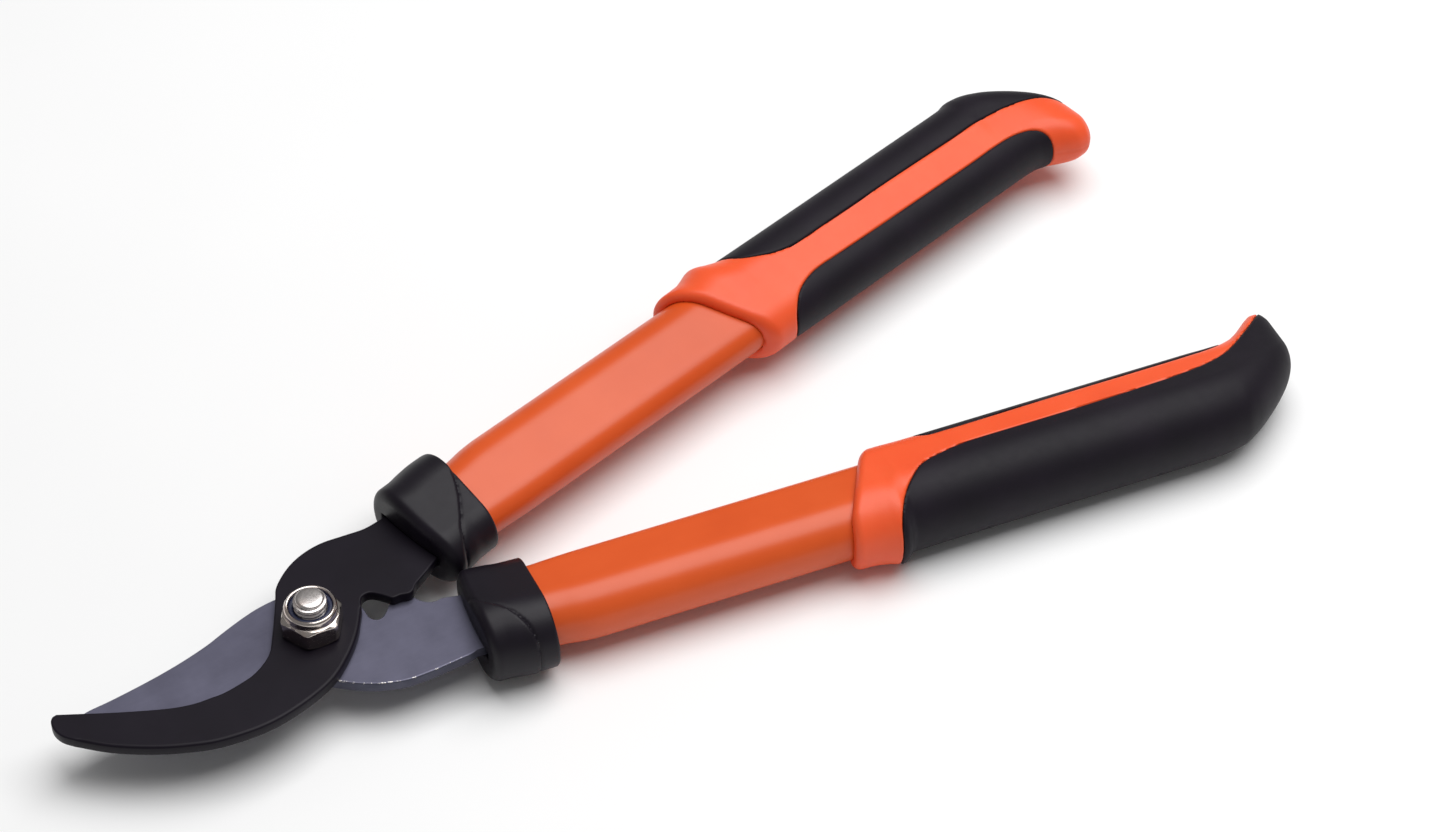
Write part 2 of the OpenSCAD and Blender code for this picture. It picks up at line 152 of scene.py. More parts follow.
def smooth_curve(points, steps):
    """Smooth curve through the points, with so many steps between each two."""
    p = [np.array(q, float) for q in points]
    last = len(p) - 1
    out = []
    for i in range(last):
        a, b, c, d = p[max(i - 1, 0)], p[i], p[i + 1], p[min(i + 2, last)]
        for k in range(steps):
            t = k / steps
            out.append(0.5 * (2 * b + (c - a) * t + (2 * a - 5 * b + 4 * c - d) * t * t
                              + (3 * b - 3 * c + d - a) * t ** 3))
    out.append(p[-1])
    return np.array(out)


def profile(knots):
    """Smooth function of one variable through the knots, flat beyond them."""
    xs = np.array([k[0] for k in knots], float)
    ys = np.array([k[1] for k in knots], float)
    d = np.diff(ys) / np.diff(xs)
    m = np.zeros(len(xs))
    for i in range(1, len(xs) - 1):
        if d[i - 1] * d[i] > 0:
            m[i] = 2 * d[i - 1] * d[i] / (d[i - 1] + d[i])
    m[0], m[-1] = d[0], d[-1]

    def f(x):
        x = np.clip(x, xs[0], xs[-1])
        i = np.clip(np.searchsorted(xs, x, side="right") - 1, 0, len(xs) - 2)
        h = xs[i + 1] - xs[i]
        t = (x - xs[i]) / h
        return ((2 * t ** 3 - 3 * t ** 2 + 1) * ys[i] + (t ** 3 - 2 * t ** 2 + t) * h * m[i]
                + (3 * t ** 2 - 2 * t ** 3) * ys[i + 1] + (t ** 3 - t ** 2) * h * m[i + 1])

    return f


def step01(t):
    """Smooth step from 0 to 1."""
    t = np.clip(t, 0.0, 1.0)
    return t * t * (3 - 2 * t)


def round_max(a, b, r):
    """Intersection of two solids with its edge rounded to radius r."""
    return (np.minimum(np.maximum(a, b), -r)
            + np.sqrt(np.maximum(a + r, 0) ** 2 + np.maximum(b + r, 0) ** 2))


def egg_distance(y, z, y_out, y_in, ro, ri):
    """Distance from an egg section: radius ro on the outer side, ri on the inner side."""
    co, ci = y_out - ro, y_in - ri
    span = np.maximum(co + ci, 0.3)
    s = np.clip((ro - ri) / span, -0.95, 0.95)
    c = np.sqrt(1 - s * s)
    az = np.abs(z)
    # Along and away from the flat that touches both circles
    px, pz = y - co, az
    along = -(px * c + pz * s)
    away = -px * s + pz * c
    flat = np.sqrt(np.maximum(span ** 2 - (ro - ri) ** 2, 0.01))
    d_out = np.hypot(px, pz) - ro
    d_in = np.hypot(y + ci, az) - ri
    return np.where(along < 0, d_out, np.where(along > flat, d_in, away - ro))


def polygon_field(poly, step=0.3, margin=16.0):
    poly = np.asarray(poly, float)
    lo, hi = poly.min(0) - margin, poly.max(0) + margin
    xs, ys = np.arange(lo[0], hi[0], step), np.arange(lo[1], hi[1], step)
    gx, gy = np.meshgrid(xs, ys, indexing="ij")
    best = np.full(gx.shape, 1e9)
    inside = np.zeros(gx.shape, bool)
    for a, b in zip(poly, np.roll(poly, -1, axis=0)):
        e = b - a
        t = np.clip(((gx - a[0]) * e[0] + (gy - a[1]) * e[1]) / max(e @ e, 1e-9), 0, 1)
        best = np.minimum(best, (gx - a[0] - t * e[0]) ** 2 + (gy - a[1] - t * e[1]) ** 2)
        crosses = (a[1] > gy) != (b[1] > gy)
        with np.errstate(divide="ignore", invalid="ignore"):
            at = a[0] + (gy - a[1]) * e[0] / e[1]
        inside ^= crosses & (gx < at)
    table = np.where(inside, -1, 1) * np.sqrt(best)

    def f(x, y):
        u = np.clip((x - xs[0]) / step, 0, len(xs) - 1.001)
        v = np.clip((y - ys[0]) / step, 0, len(ys) - 1.001)
        i, j = np.floor(u).astype(int), np.floor(v).astype(int)
        u, v = u - i, v - j
        return ((1 - u) * (1 - v) * table[i, j] + u * (1 - v) * table[i + 1, j]
                + (1 - u) * v * table[i, j + 1] + u * v * table[i + 1, j + 1])

    return f


def solid_from(fn, lo, hi, cell):
    """Closed quad mesh of the surface fn(x, y, z) = 0, its vertices moved onto the surface."""
    lo = np.array(lo, float)
    n = np.ceil((np.array(hi, float) - lo) / cell).astype(int) + 1
    gx, gy, gz = [lo[i] + cell * np.arange(n[i]) for i in range(3)]
    field = np.broadcast_to(fn(gx[:, None, None], gy[None, :, None], gz[None, None, :]), n).copy()
    inside = field < 0
    count = sum(inside[i:n[0] - 1 + i, j:n[1] - 1 + j, k:n[2] - 1 + k].astype(np.int8)
                for i in (0, 1) for j in (0, 1) for k in (0, 1))
    mixed = (count > 0) & (count < 8)
    ids = np.full(mixed.shape, -1)
    ids[mixed] = np.arange(mixed.sum())
    cells = np.argwhere(mixed)
    total, num = np.zeros(cells.shape), np.zeros(len(cells))
    for axis in range(3):
        for b in (0, 1):
            for c in (0, 1):
                o0 = np.zeros(3, int)
                o0[(axis + 1) % 3], o0[(axis + 2) % 3] = b, c
                o1 = o0.copy()
                o1[axis] = 1
                f0, f1 = field[tuple((cells + o0).T)], field[tuple((cells + o1).T)]
                m = (f0 < 0) != (f1 < 0)
                t = np.where(m, f0 / np.where(m, f0 - f1, 1.0), 0.0)
                p = np.tile(o0.astype(float), (len(cells), 1))
                p[:, axis] += t
                total[m] += p[m]
                num[m] += 1
    verts = lo + cell * (cells + total / num[:, None])
    faces = []
    for axis in range(3):
        b, c = (axis + 1) % 3, (axis + 2) % 3
        lo_s = [slice(None)] * 3
        hi_s = [slice(None)] * 3
        lo_s[axis], hi_s[axis] = slice(0, -1), slice(1, None)
        change = inside[tuple(lo_s)] != inside[tuple(hi_s)]
        nodes = np.argwhere(change)
        keep = (nodes[:, b] >= 1) & (nodes[:, c] >= 1) & (nodes[:, b] < n[b] - 1) & (nodes[:, c] < n[c] - 1)
        nodes = nodes[keep]
        eb, ec = np.eye(3, dtype=int)[b], np.eye(3, dtype=int)[c]
        quad = np.stack([ids[tuple((nodes - eb - ec).T)], ids[tuple((nodes - ec).T)],
                         ids[tuple(nodes.T)], ids[tuple((nodes - eb).T)]], 1)
        out = inside[tuple(nodes.T)]
        faces.append(np.where(out[:, None], quad, quad[:, ::-1]))
    h = 0.03
    for _ in range(4):
        x, y, z = verts.T
        f = fn(x, y, z)
        g = np.stack([fn(x + h, y, z) - fn(x - h, y, z), fn(x, y + h, z) - fn(x, y - h, z),
                      fn(x, y, z + h) - fn(x, y, z - h)], 1) / (2 * h)
        move = -f[:, None] * g / np.maximum((g * g).sum(1), 0.2)[:, None]
        length = np.linalg.norm(move, axis=1)
        verts = verts + move * np.minimum(1, 0.35 * cell / np.maximum(length, 1e-9))[:, None]
    return verts, np.concatenate(faces)


def handle_solid(handle, name, fn, lo, hi, cell, material, node, sharp):
    """Solid given by a distance function in the handle's axes, in place of one CAD node."""
    verts, faces = solid_from(fn, lo, hi, cell)
    obj = make_object(handle.name + name, handle.place(verts), faces, [material], sharp)
    finish_piece(obj, handle.body, handle.name + node)


def rings_mesh(rings, loop=False):
    """Joins rings of equal length, one after the other, into a skin. Returns verts and faces.

    A loop joins the last ring to the first. Otherwise both ends are closed with a flat face.
    """
    n, count = len(rings[0]), len(rings)
    verts = [p for r in rings for p in r]
    faces = []
    for k in range(count if loop else count - 1):
        a, b = k * n, (k + 1) % count * n
        faces += [(a + i, a + (i + 1) % n, b + (i + 1) % n, b + i) for i in range(n)]
    if not loop:
        faces.append(tuple(range(n - 1, -1, -1)))
        faces.append(tuple(range((count - 1) * n, count * n)))
    return verts, faces


# ---------------------------------------------------------------- materials
def srgb(r, g, b):
    """Linear colour of three values from 0 to 255."""
    def lin(v):
        v /= 255.0
        return v / 12.92 if v <= 0.04045 else ((v + 0.055) / 1.055) ** 2.4
    return (lin(r), lin(g), lin(b), 1.0)


def new_material(name, roughness, metallic=0.0, **sockets):
    """Principled material. Other sockets are set by their names, with _ for a space."""
    mat = bpy.data.materials.new(name)
    mat.use_nodes = True
    nt = mat.node_tree
    shader = nt.nodes["Principled BSDF"]
    shader.inputs["Metallic"].default_value = metallic
    shader.inputs["Roughness"].default_value = roughness
    for key, value in sockets.items():
        shader.inputs[key.replace("_", " ")].default_value = value
    coords = nt.nodes.new("ShaderNodeTexCoord")
    return mat, nt, shader, coords.outputs["Object"]


def noise(nt, vector, scale, detail=3.0, rough=0.55, stretch=None):
    """Noise value. stretch holds a scale for each axis and a turn about z."""
    if stretch:
        mapping = nt.nodes.new("ShaderNodeMapping")
        mapping.inputs["Scale"].default_value = stretch[0]
        mapping.inputs["Rotation"].default_value = (0, 0, stretch[1])
        nt.links.new(vector, mapping.inputs["Vector"])
        vector = mapping.outputs["Vector"]
    tex = nt.nodes.new("ShaderNodeTexNoise")
    tex.inputs["Scale"].default_value = scale
    tex.inputs["Detail"].default_value = detail
    tex.inputs["Roughness"].default_value = rough
    nt.links.new(vector, tex.inputs["Vector"])
    return tex.outputs["Fac"]


def ramp(nt, value, stops):
    node = nt.nodes.new("ShaderNodeValToRGB")
    e = node.color_ramp.elements
    e[0].position, e[0].color = stops[0]
    e[1].position, e[1].color = stops[1]
    for position, colour in stops[2:]:
        e.new(position).color = colour
    nt.links.new(value, node.inputs["Fac"])
    return node.outputs["Color"]


def mix(nt, factor, a, b):
    """Blend of two colours. Each input is a value or another node's output."""
    node = nt.nodes.new("ShaderNodeMix")
    node.data_type = "RGBA"
    for sock, v in (("Factor", factor), ("A", a), ("B", b)):
        target = [i for i in node.inputs if i.name == sock and i.enabled][0]
        if isinstance(v, (tuple, float)):
            target.default_value = v
        else:
            nt.links.new(v, target)
    return [o for o in node.outputs if o.enabled][0]


def bump(nt, shader, height, strength, distance):
    node = nt.nodes.new("ShaderNodeBump")
    node.inputs["Strength"].default_value = strength
    node.inputs["Distance"].default_value = distance
    nt.links.new(height, node.inputs["Height"])
    nt.links.new(node.outputs["Normal"], shader.inputs["Normal"])


def grey(v):
    return (v, v, v, 1.0)


def range_of(nt, value, lo, hi):
    node = nt.nodes.new("ShaderNodeMapRange")
    node.inputs["To Min"].default_value = lo
    node.inputs["To Max"].default_value = hi
    nt.links.new(value, node.inputs["Value"])
    return node.outputs["Result"]


def coloured(name, base, low, high, scale, roughness, spread, bump_scale, bump_mm, strength,
             metallic=0.0, specks=None, **sockets):
    """Colour that drifts between three tones, uneven gloss, and a fine surface texture.

    specks holds the scale, the threshold and the colour of small spots.
    """
    mat, nt, shader, obj = new_material(name, roughness, metallic, **sockets)
    drift = noise(nt, obj, scale, 4.0)
    colour = ramp(nt, drift, [(0.3, low), (0.5, base), (0.72, high)])
    if specks:
        dots = noise(nt, obj, specks[0], 2.0)
        mask = ramp(nt, dots, [(specks[1], grey(0.0)), (specks[1] + 0.02, grey(1.0))])
        colour = mix(nt, mask, colour, specks[2])
    nt.links.new(colour, shader.inputs["Base Color"])
    nt.links.new(range_of(nt, noise(nt, obj, scale * 5, 3.0), roughness - spread, roughness + spread),
                 shader.inputs["Roughness"])
    bump(nt, shader, noise(nt, obj, bump_scale, 3.0), strength, bump_mm * MM)
    return mat


ORANGE_PAINT = coloured("orange_paint", srgb(216, 85, 31), srgb(211, 81, 28), srgb(220, 89, 35), 30,
                        0.34, 0.03, 700, 0.05, 0.25, specks=(420, 0.80, srgb(160, 62, 36)),
                        Specular_IOR_Level=0.42)
ORANGE_PLASTIC = coloured("orange_plastic", srgb(240, 88, 42), srgb(236, 84, 39), srgb(243, 93, 48), 40,
                          0.42, 0.04, 1500, 0.04, 0.3, specks=(600, 0.82, srgb(190, 74, 46)),
                          Subsurface_Weight=0.12, Subsurface_Scale=0.002, Specular_IOR_Level=0.42)
BLACK_RUBBER = coloured("black_rubber", srgb(20, 14, 24), srgb(17, 12, 21), srgb(24, 17, 28), 60,
                        0.56, 0.05, 2600, 0.05, 0.45, specks=(900, 0.80, srgb(42, 38, 44)),
                        Specular_IOR_Level=0.22)
BLACK_PLASTIC = coloured("black_plastic", srgb(20, 15, 24), srgb(17, 13, 21), srgb(24, 18, 29), 50,
                         0.44, 0.05, 1900, 0.05, 0.45, specks=(1000, 0.82, srgb(46, 44, 52)),
                         Specular_IOR_Level=0.24)
NYLON = coloured("nylon_blue", srgb(28, 34, 62), srgb(24, 30, 55), srgb(33, 40, 70), 200,
                 0.4, 0.05, 2500, 0.03, 0.3)
GREY_NYLON = coloured("grey_nylon", srgb(120, 120, 122), srgb(112, 112, 114), srgb(128, 128, 130), 60,
                      0.55, 0.05, 1500, 0.05, 0.4)
RIVET_STEEL = coloured("rivet_steel", srgb(170, 170, 170), srgb(160, 160, 160), srgb(180, 180, 180), 300,
                       0.35, 0.06, 2500, 0.02, 0.3, metallic=1.0)


def coated_steel():
    """Satin black coating with a fine texture and small rubbed spots."""
    mat, nt, shader, obj = new_material("black_coated_steel", 0.42, 0.0, Specular_IOR_Level=0.16)
    drift = noise(nt, obj, 45, 4.0)
    colour = ramp(nt, drift, [(0.3, srgb(17, 12, 21)), (0.5, srgb(20, 15, 25)), (0.75, srgb(24, 19, 29))])
    rub = ramp(nt, noise(nt, obj, 700, 3.0), [(0.76, grey(0)), (0.80, grey(1))])
    colour = mix(nt, rub, colour, srgb(40, 37, 44))
    nt.links.new(colour, shader.inputs["Base Color"])
    nt.links.new(range_of(nt, noise(nt, obj, 120, 4.0), 0.36, 0.48), shader.inputs["Roughness"])
    bump(nt, shader, noise(nt, obj, 1800, 3.0), 0.35, 0.04 * MM)
    return mat


def ground_steel(name, base, dark, light, along, rough):
    """Steel with fine grinding lines that run one way, and faint cloudy stains."""
    mat, nt, shader, obj = new_material(name, rough, 0.75)
    lines = noise(nt, obj, 900, 4.0, 0.6, stretch=((0.06, 1.0, 1.0), along))
    stains = noise(nt, obj, 70, 5.0)
    colour = ramp(nt, stains, [(0.3, dark), (0.5, base), (0.75, light)])
    colour = mix(nt, 0.10, colour, ramp(nt, lines, [(0.35, dark), (0.65, light)]))
    spots = ramp(nt, noise(nt, obj, 500, 2.0), [(0.78, grey(0)), (0.80, grey(1))])
    colour = mix(nt, spots, colour, dark)
    nt.links.new(colour, shader.inputs["Base Color"])
    nt.links.new(range_of(nt, noise(nt, obj, 150, 4.0), rough - 0.05, rough + 0.07),
                 shader.inputs["Roughness"])
    bump(nt, shader, lines, 0.25, 0.02 * MM)
    return mat


def worn_edge():
    """Ground edge: dark steel with bright bare flecks where the coating has chipped away."""
    mat, nt, shader, obj = new_material("blade_worn_edge", 0.36, 0.8)
    flecks = ramp(nt, noise(nt, obj, 900, 3.0, 0.7), [(0.56, grey(0)), (0.62, grey(1))])
    colour = mix(nt, flecks, srgb(84, 83, 98), srgb(205, 200, 196))
    nt.links.new(colour, shader.inputs["Base Color"])
    bump(nt, shader, noise(nt, obj, 900, 3.0), 0.5, 0.08 * MM)
    return mat


def zinc(name, base, rough):
    """Bright plating with faint warm and dark clouds."""
    mat, nt, shader, obj = new_material(name, rough, 1.0)
    clouds = noise(nt, obj, 260, 4.0)
    warm = srgb(*[min(255, v) for v in (base[0] + 6, base[1] - 2, base[2] - 6)])
    colour = ramp(nt, clouds, [(0.3, srgb(*[v - 14 for v in base])), (0.5, srgb(*base)), (0.72, warm)])
    nt.links.new(colour, shader.inputs["Base Color"])
    nt.links.new(range_of(nt, noise(nt, obj, 900, 3.0), rough - 0.05, rough + 0.08),
                 shader.inputs["Roughness"])
    bump(nt, shader, noise(nt, obj, 1400, 3.0), 0.3, 0.05 * MM)
    return mat


HOOK_BLACK = coated_steel()
BLADE_STEEL = ground_steel("blade_steel", srgb(93, 92, 109), srgb(85, 84, 100), srgb(102, 101, 119),
                           0.5, 0.48)
# The blade's side wall and lower rounding use a darker copy of the blade steel. The darker tone is painted
# shade; the grinding lines are the steel's own.
BLADE_SIDE_PAINTED_SHADE = ground_steel("blade_side_painted_shade", srgb(72, 72, 86), srgb(60, 60, 74), srgb(86, 86, 100), 0.2, 0.5)
BLADE_EDGE = worn_edge()
ZINC = zinc("zinc_steel", (208, 198, 192), 0.16)
ZINC_DULL = zinc("bolt_end", (206, 200, 198), 0.27)


# ---------------------------------------------------------------- plates
def plate(name, outline, widths, z0, z1, materials, side_slot=0, edge_slots=None):
    """Flat plate with rounded edges. widths holds the rounding of each point, above and below.

    side_slot is the material of the plate's side, and edge_slots those of its upper rounding.
    """
    p, w = np.asarray(outline, float), np.asarray(widths, float)
    marks = np.zeros(len(p), int) if edge_slots is None else np.asarray(edge_slots)
    q = np.roll(p, -1, 0)
    if np.sum(p[:, 0] * q[:, 1] - q[:, 0] * p[:, 1]) < 0:
        p, w, marks = p[::-1], w[::-1], np.roll(marks[::-1], -1)
    d = np.roll(p, -1, 0) - np.roll(p, 1, 0)
    d /= np.maximum(np.linalg.norm(d, axis=1), 1e-9)[:, None]
    inward = np.stack([-d[:, 1], d[:, 0]], 1)
    turn = np.radians([0, 22, 45, 68, 90])
    # The flat faces start a little inside the rounding, which is a little lower than it is wide
    inset, height = 1.2, 0.8
    rings = [np.column_stack([p + inward * w[:, 1:] * inset, np.full(len(p), z0)])]
    for a in turn[::-1]:
        rings.append(np.column_stack([p + inward * (w[:, 1] * (1 - math.cos(a)))[:, None],
                                      z0 + w[:, 1] * (1 - math.sin(a)) * height]))
    for a in turn:
        rings.append(np.column_stack([p + inward * (w[:, 0] * (1 - math.cos(a)))[:, None],
                                      z1 - w[:, 0] * (1 - math.sin(a)) * height]))
    rings.append(np.column_stack([p + inward * w[:, :1] * inset, np.full(len(p), z1)]))
    verts, faces = rings_mesh(rings)
    slots = []
    for k in range(len(rings) - 1):
        upper_rounding = len(turn) + 1 < k < len(rings) - 2
        own = side_slot if k <= len(turn) + 1 else 0
        slots += [int(mark) if upper_rounding and mark else own for mark in marks]
    slots += [0, 0]
    return make_object(name, verts, faces, materials, 30.0, slots)


# Hook jaw, starting at its tip: hooked inner edge, shoulder up to the ferrule, scallops, round back, tip
HOOK_INNER = [(-78, 11.6), (-71.2, 7.6), (-64.6, 3.7), (-58.1, 0.1), (-52.8, -2.7), (-47.9, -5.0),
              (-42.6, -6.7), (-38.2, -7.3), (-33.9, -7.8), (-28.6, -7.4), (-23.8, -6.6), (-19.6, -4.8),
              (-16.3, -2.6), (-14.4, -0.6)]
HOOK_FRONT = [(-14.4, -0.6), (-9.4, 7), (-4.3, 15.2), (-1.2, 20), (5, 24.6), (11.5, 27.1), (18.3, 27.8),
              (25.7, 26.7), (32, 25.8), (38, 26.4)]
HOOK_SCALLOPS = [(39.5, 0.8), (35.4, -1.2), (33.6, -2.2), (32.1, -3.6), (30.3, -4.1), (27.9, -3.3),
                 (25.4, -3.0), (24.2, -1.6), (22.7, 0.5), (20.4, 2.6), (17.6, 2.2), (15.8, -1.1)]
HOOK_BACK = [(15.8, -1.1), (10.3, -8.6), (3.6, -15), (-5.2, -20.8), (-17.2, -24.2), (-29.3, -25.2),
             (-42.2, -23.2), (-51, -19.8), (-60, -14.9), (-70, -7.6), (-77.5, 0)]
HOOK_TIP = [(-77.5, 0), (-79.8, 2.9), (-80.8, 5.4), (-81, 7.8), (-80.4, 10.2), (-79.2, 11.5), (-78, 11.6)]
# Tang inside the ferrule and the tube, in the handle's axes
TANG = [(44.5, 12), (47.5, 12), (49.5, 10), (60, 10), (60, -10), (49.5, -10), (47.5, -12), (44.5, -12)]
# The blade's tang starts narrower on its outer side, in a corner beside the ferrule
NARROW_TANG = [(41.6, 10.6), (42.6, 10.1), (49.5, 10)] + TANG[3:]


def tang_points(handle, points):
    """Plan points given in the handle's axes, in the part's frame."""
    return handle.place([(x, y, 0) for x, y in points])[:, :2]


def hook():
    parts = [smooth_curve(HOOK_INNER, 3)[:-1], smooth_curve(HOOK_FRONT, 7), tang_points(UPPER, TANG),
             smooth_curve(HOOK_SCALLOPS, 6)[:-1], smooth_curve(HOOK_BACK, 9)[:-1],
             smooth_curve(HOOK_TIP, 3)[:-1]]
    count = [len(q) for q in parts]
    widths = ([(0.3, 0.15)] * count[0] + [(0.5, 0.3)] * sum(count[1:4]) + [(1.0, 0.35)] * count[4]
              + [(0.6, 0.3)] * count[5])
    obj = plate("hook_jaw_plate", np.concatenate(parts), widths, HOOK_LO, HOOK_HI, [HOOK_BLACK])
    finish_piece(obj, "hook_half", "hook_jaw")


hook()

# Cutting blade, starting at its tip: convex edge hidden behind the hook, belly, scallops with a notch, spine
BLADE_EDGE_LINE = [(-72.5, 9.6), (-66, 4.2), (-58, -1.8), (-49, -7.1), (-39.5, -10.7), (-30, -12.4),
                   (-21, -12.2), (-13.6, -10.6)]
BLADE_BELLY = [(-13.6, -10.6), (-8.4, -14.8), (-4, -18.3), (0, -22), (4.2, -25.3), (9.1, -28.1),
               (14.9, -30.3), (22.5, -31.3), (28, -31.6), (34, -31.9)]
BLADE_SCALLOPS = [(40.5, -8.9), (38.8, -8.3), (36.8, -8.3), (34.9, -7.6), (33.1, -5.8), (31.4, -2.6),
                  (29.6, -1.4), (27.9, -1.1), (26.3, -1.3), (24.6, -1.9), (22.6, -3.7), (20.4, -5.2),
                  (18.3, -5.0), (17, -2.9), (17.2, 0.2)]
BLADE_SPINE = [(17.2, 0.2), (16.4, 6), (12.5, 12), (6, 16.6), (-2, 18.3), (-8, 18.3), (-13, 17.6),
               (-18, 16.5), (-23, 15.2), (-29, 13.6), (-38.5, 12.0), (-49, 11.0), (-60.7, 10.5),
               (-69, 10.5), (-72.5, 9.6)]


def blade():
    parts = [smooth_curve(BLADE_EDGE_LINE, 6)[:-1], smooth_curve(BLADE_BELLY, 8),
             tang_points(LOWER, NARROW_TANG), smooth_curve(BLADE_SCALLOPS, 6)[:-1],
             smooth_curve(BLADE_SPINE, 7)[:-1]]
    outline = np.concatenate(parts)
    edge, belly = len(parts[0]), len(parts[1])
    rest = len(outline) - edge - belly
    # Ground bevel below the edge, and a rounding that fades out towards the sharp tip
    widths = [(0.1, 1.6)] * edge + [(0.5, 0.3)] * belly + [(0.2, 0.3)] * rest
    from_tip = np.linalg.norm(outline - outline[0], axis=1)[:, None]
    widths = np.minimum(widths, 0.02 + from_tip * [0.06, 0.15])
    # The coating is worn off along the belly
    marks = [0] * edge + [2] * (belly - 1) + [0] * (rest + 1)
    # Slot 1 covers the plate's side and lower rounding. It takes the darker steel, which carries painted
    # shade.
    obj = plate("cutting_blade_plate", outline, widths, BLADE_LO, BLADE_HI,
                [BLADE_STEEL, BLADE_SIDE_PAINTED_SHADE, BLADE_EDGE], 1, marks)
    finish_piece(obj, "blade_half", "cutting_blade")


blade()


# ---------------------------------------------------------------- pivot
TURNS = 96
CHAMFER = math.tan(math.radians(30))


def circle_ring(r, z):
    angles = [2 * math.pi * i / TURNS for i in range(TURNS)]
    return [(r * math.cos(a), r * math.sin(a), z) for a in angles]


def hex_radius(angle):
    """Distance from the axis to the hexagon, whose corners are cut off a little."""
    a = (angle - HEX_TURN) % (math.pi / 3) - math.pi / 6
    corner = 0.35
    return min(HEX_AF / 2 / math.cos(a), HEX_AF / math.sqrt(3) - corner)


def hex_ring(inset, height):
    """Ring round the hexagon. height gives a point's z from its radius."""
    out = []
    for i in range(TURNS):
        a = 2 * math.pi * i / TURNS
        r = hex_radius(a)
        out.append(((r - inset) * math.cos(a), (r - inset) * math.sin(a), height(r)))
    return out


def chamfered(z, start, direction):
    """Height of a hexagon's end face, which slopes away outside the radius start."""
    return lambda r: z + direction * max(0, r - start) * CHAMFER


def nut():
    """Lock nut: chamfered hexagon, and a thin collar rolled over at its top."""
    top = NUT_LO + (NUT_HI - NUT_LO) * 0.70
    flat_r = HEX_AF / 2 - 0.25
    bore_r, bore_depth = 5.3, 2.4
    rings = [circle_ring(bore_r, NUT_LO + 0.02), circle_ring(flat_r, NUT_LO + 0.02)]
    for inset, dz in ((0.05, 0.1), (0, 0.25), (0, 0.6)):
        rings.append(hex_ring(inset, chamfered(NUT_LO + dz, flat_r, 1)))
    for inset, dz in ((0, 0.6), (0, 0.25), (0.06, 0.08)):
        rings.append(hex_ring(inset, chamfered(top - dz, flat_r, -1)))
    rings.append(circle_ring(flat_r + 0.12, top))
    for r, dz in ((8.25, 0.05), (8.02, 0.16), (7.92, 0.4), (7.9, 0.8)):
        rings.append(circle_ring(r, top + dz))
    for r, dz in ((7.9, 1.05), (7.82, 0.7), (7.62, 0.35), (7.35, 0.1), (7.1, 0.0), (6.85, 0.08),
                  (6.66, 0.28), (6.58, 0.6), (6.55, 1.2), (6.5, bore_depth), (bore_r, bore_depth)):
        rings.append(circle_ring(r, NUT_HI - dz))
    verts, faces = rings_mesh(rings, loop=True)
    return make_object("lock_nut", verts, faces, [ZINC], 24.0)


finish_piece(nut(), "hook_half", "pivot_nut")


def nylon_ring():
    """Nylon ring that sits in the nut's collar and grips the thread."""
    z0, z1 = NUT_HI - 2.35, NUT_HI - 0.75
    section = [(5.02, z0), (6.5, z0), (6.52, z0 + 0.4), (6.5, z1 - 0.25), (6.3, z1 - 0.04), (5.9, z1),
               (5.45, z1 - 0.06), (5.15, z1 - 0.25), (5.02, z1 - 0.55)]
    verts, faces = rings_mesh([circle_ring(r, z) for r, z in section], loop=True)
    return make_object("nylon_ring", verts, faces, [NYLON], 50.0)


finish_piece(nylon_ring(), "hook_half", "nut_insert")


def thread_ring(z, top):
    """Ring across a helical thread, which fades out towards its top."""
    pitch, depth, half_width = 1.5, 0.62, 0.34
    out = []
    for i in range(TURNS):
        a = 2 * math.pi * i / TURNS
        phase = (z / pitch - i / TURNS) % 1.0
        cut = depth * max(0.0, 1 - abs(phase - 0.5) / half_width)
        fade = min(1.0, (top + 0.15 - z) / 0.5)
        r = BOLT_R - 0.05 - cut * max(0.0, fade)
        out.append((r * math.cos(a), r * math.sin(a), z))
    return out


def bolt():
    """Hex bolt, head down: plain shank, thread inside and above the nut, necked and domed end."""
    flat_r = HEX_AF / 2 - 0.2
    head = WASHER_LO
    rings = [circle_ring(0.6, 0.35), circle_ring(6.2, 0.35), circle_ring(6.5, 0.0),
             circle_ring(flat_r - 0.1, 0.0)]
    for inset, z in ((0.05, 0.15), (0, 0.35), (0, 0.7)):
        rings.append(hex_ring(inset, chamfered(z, flat_r, 1)))
    for inset, dz in ((0, 0.65), (0, 0.3), (0.1, 0.1)):
        rings.append(hex_ring(inset, chamfered(head - dz, flat_r, 0)))
    shank_r = BOLT_R - 0.02
    rings += [circle_ring(flat_r - 0.4, head - 0.02), circle_ring(5.3, head - 0.02),
              circle_ring(shank_r, head + 0.3)]
    start, top = NUT_HI - 2.2, BOLT_TOP - 1.6
    rings.append(circle_ring(shank_r, start - 0.4))
    steps = 40
    rings += [thread_ring(start + (top - start) * k / steps, top) for k in range(steps + 1)]
    for r, dz in ((4.5, 0.1), (4.0, 0.22), (3.85, 0.34), (3.95, 0.46), (4.2, 0.56), (4.28, 0.68),
                  (4.26, 0.86), (4.16, 1.02), (3.98, 1.18), (3.7, 1.32), (3.2, 1.42), (2.4, 1.5),
                  (1.4, 1.56), (0.5, 1.59)):
        rings.append(circle_ring(r, top + dz))
    verts, faces = rings_mesh(rings)
    return make_object("pivot_bolt_m10", verts, faces, [ZINC_DULL], 30.0)


finish_piece(bolt(), "hook_half", "pivot_bolt")


def washer():
    r, z0, z1 = WASHER_R, WASHER_LO + 0.01, WASHER_HI
    section = [(5.1, z0 + 0.1), (5.25, z0), (r - 0.35, z0), (r - 0.1, z0 + 0.1), (r, z0 + 0.4),
               (r, z1 - 0.3), (r - 0.12, z1 - 0.08), (r - 0.4, z1), (5.25, z1), (5.1, z1 - 0.1)]
    verts, faces = rings_mesh([circle_ring(*q) for q in section], loop=True)
    return make_object("head_washer_plain", verts, faces, [ZINC], 30.0)


finish_piece(washer(), "hook_half", "head_washer")


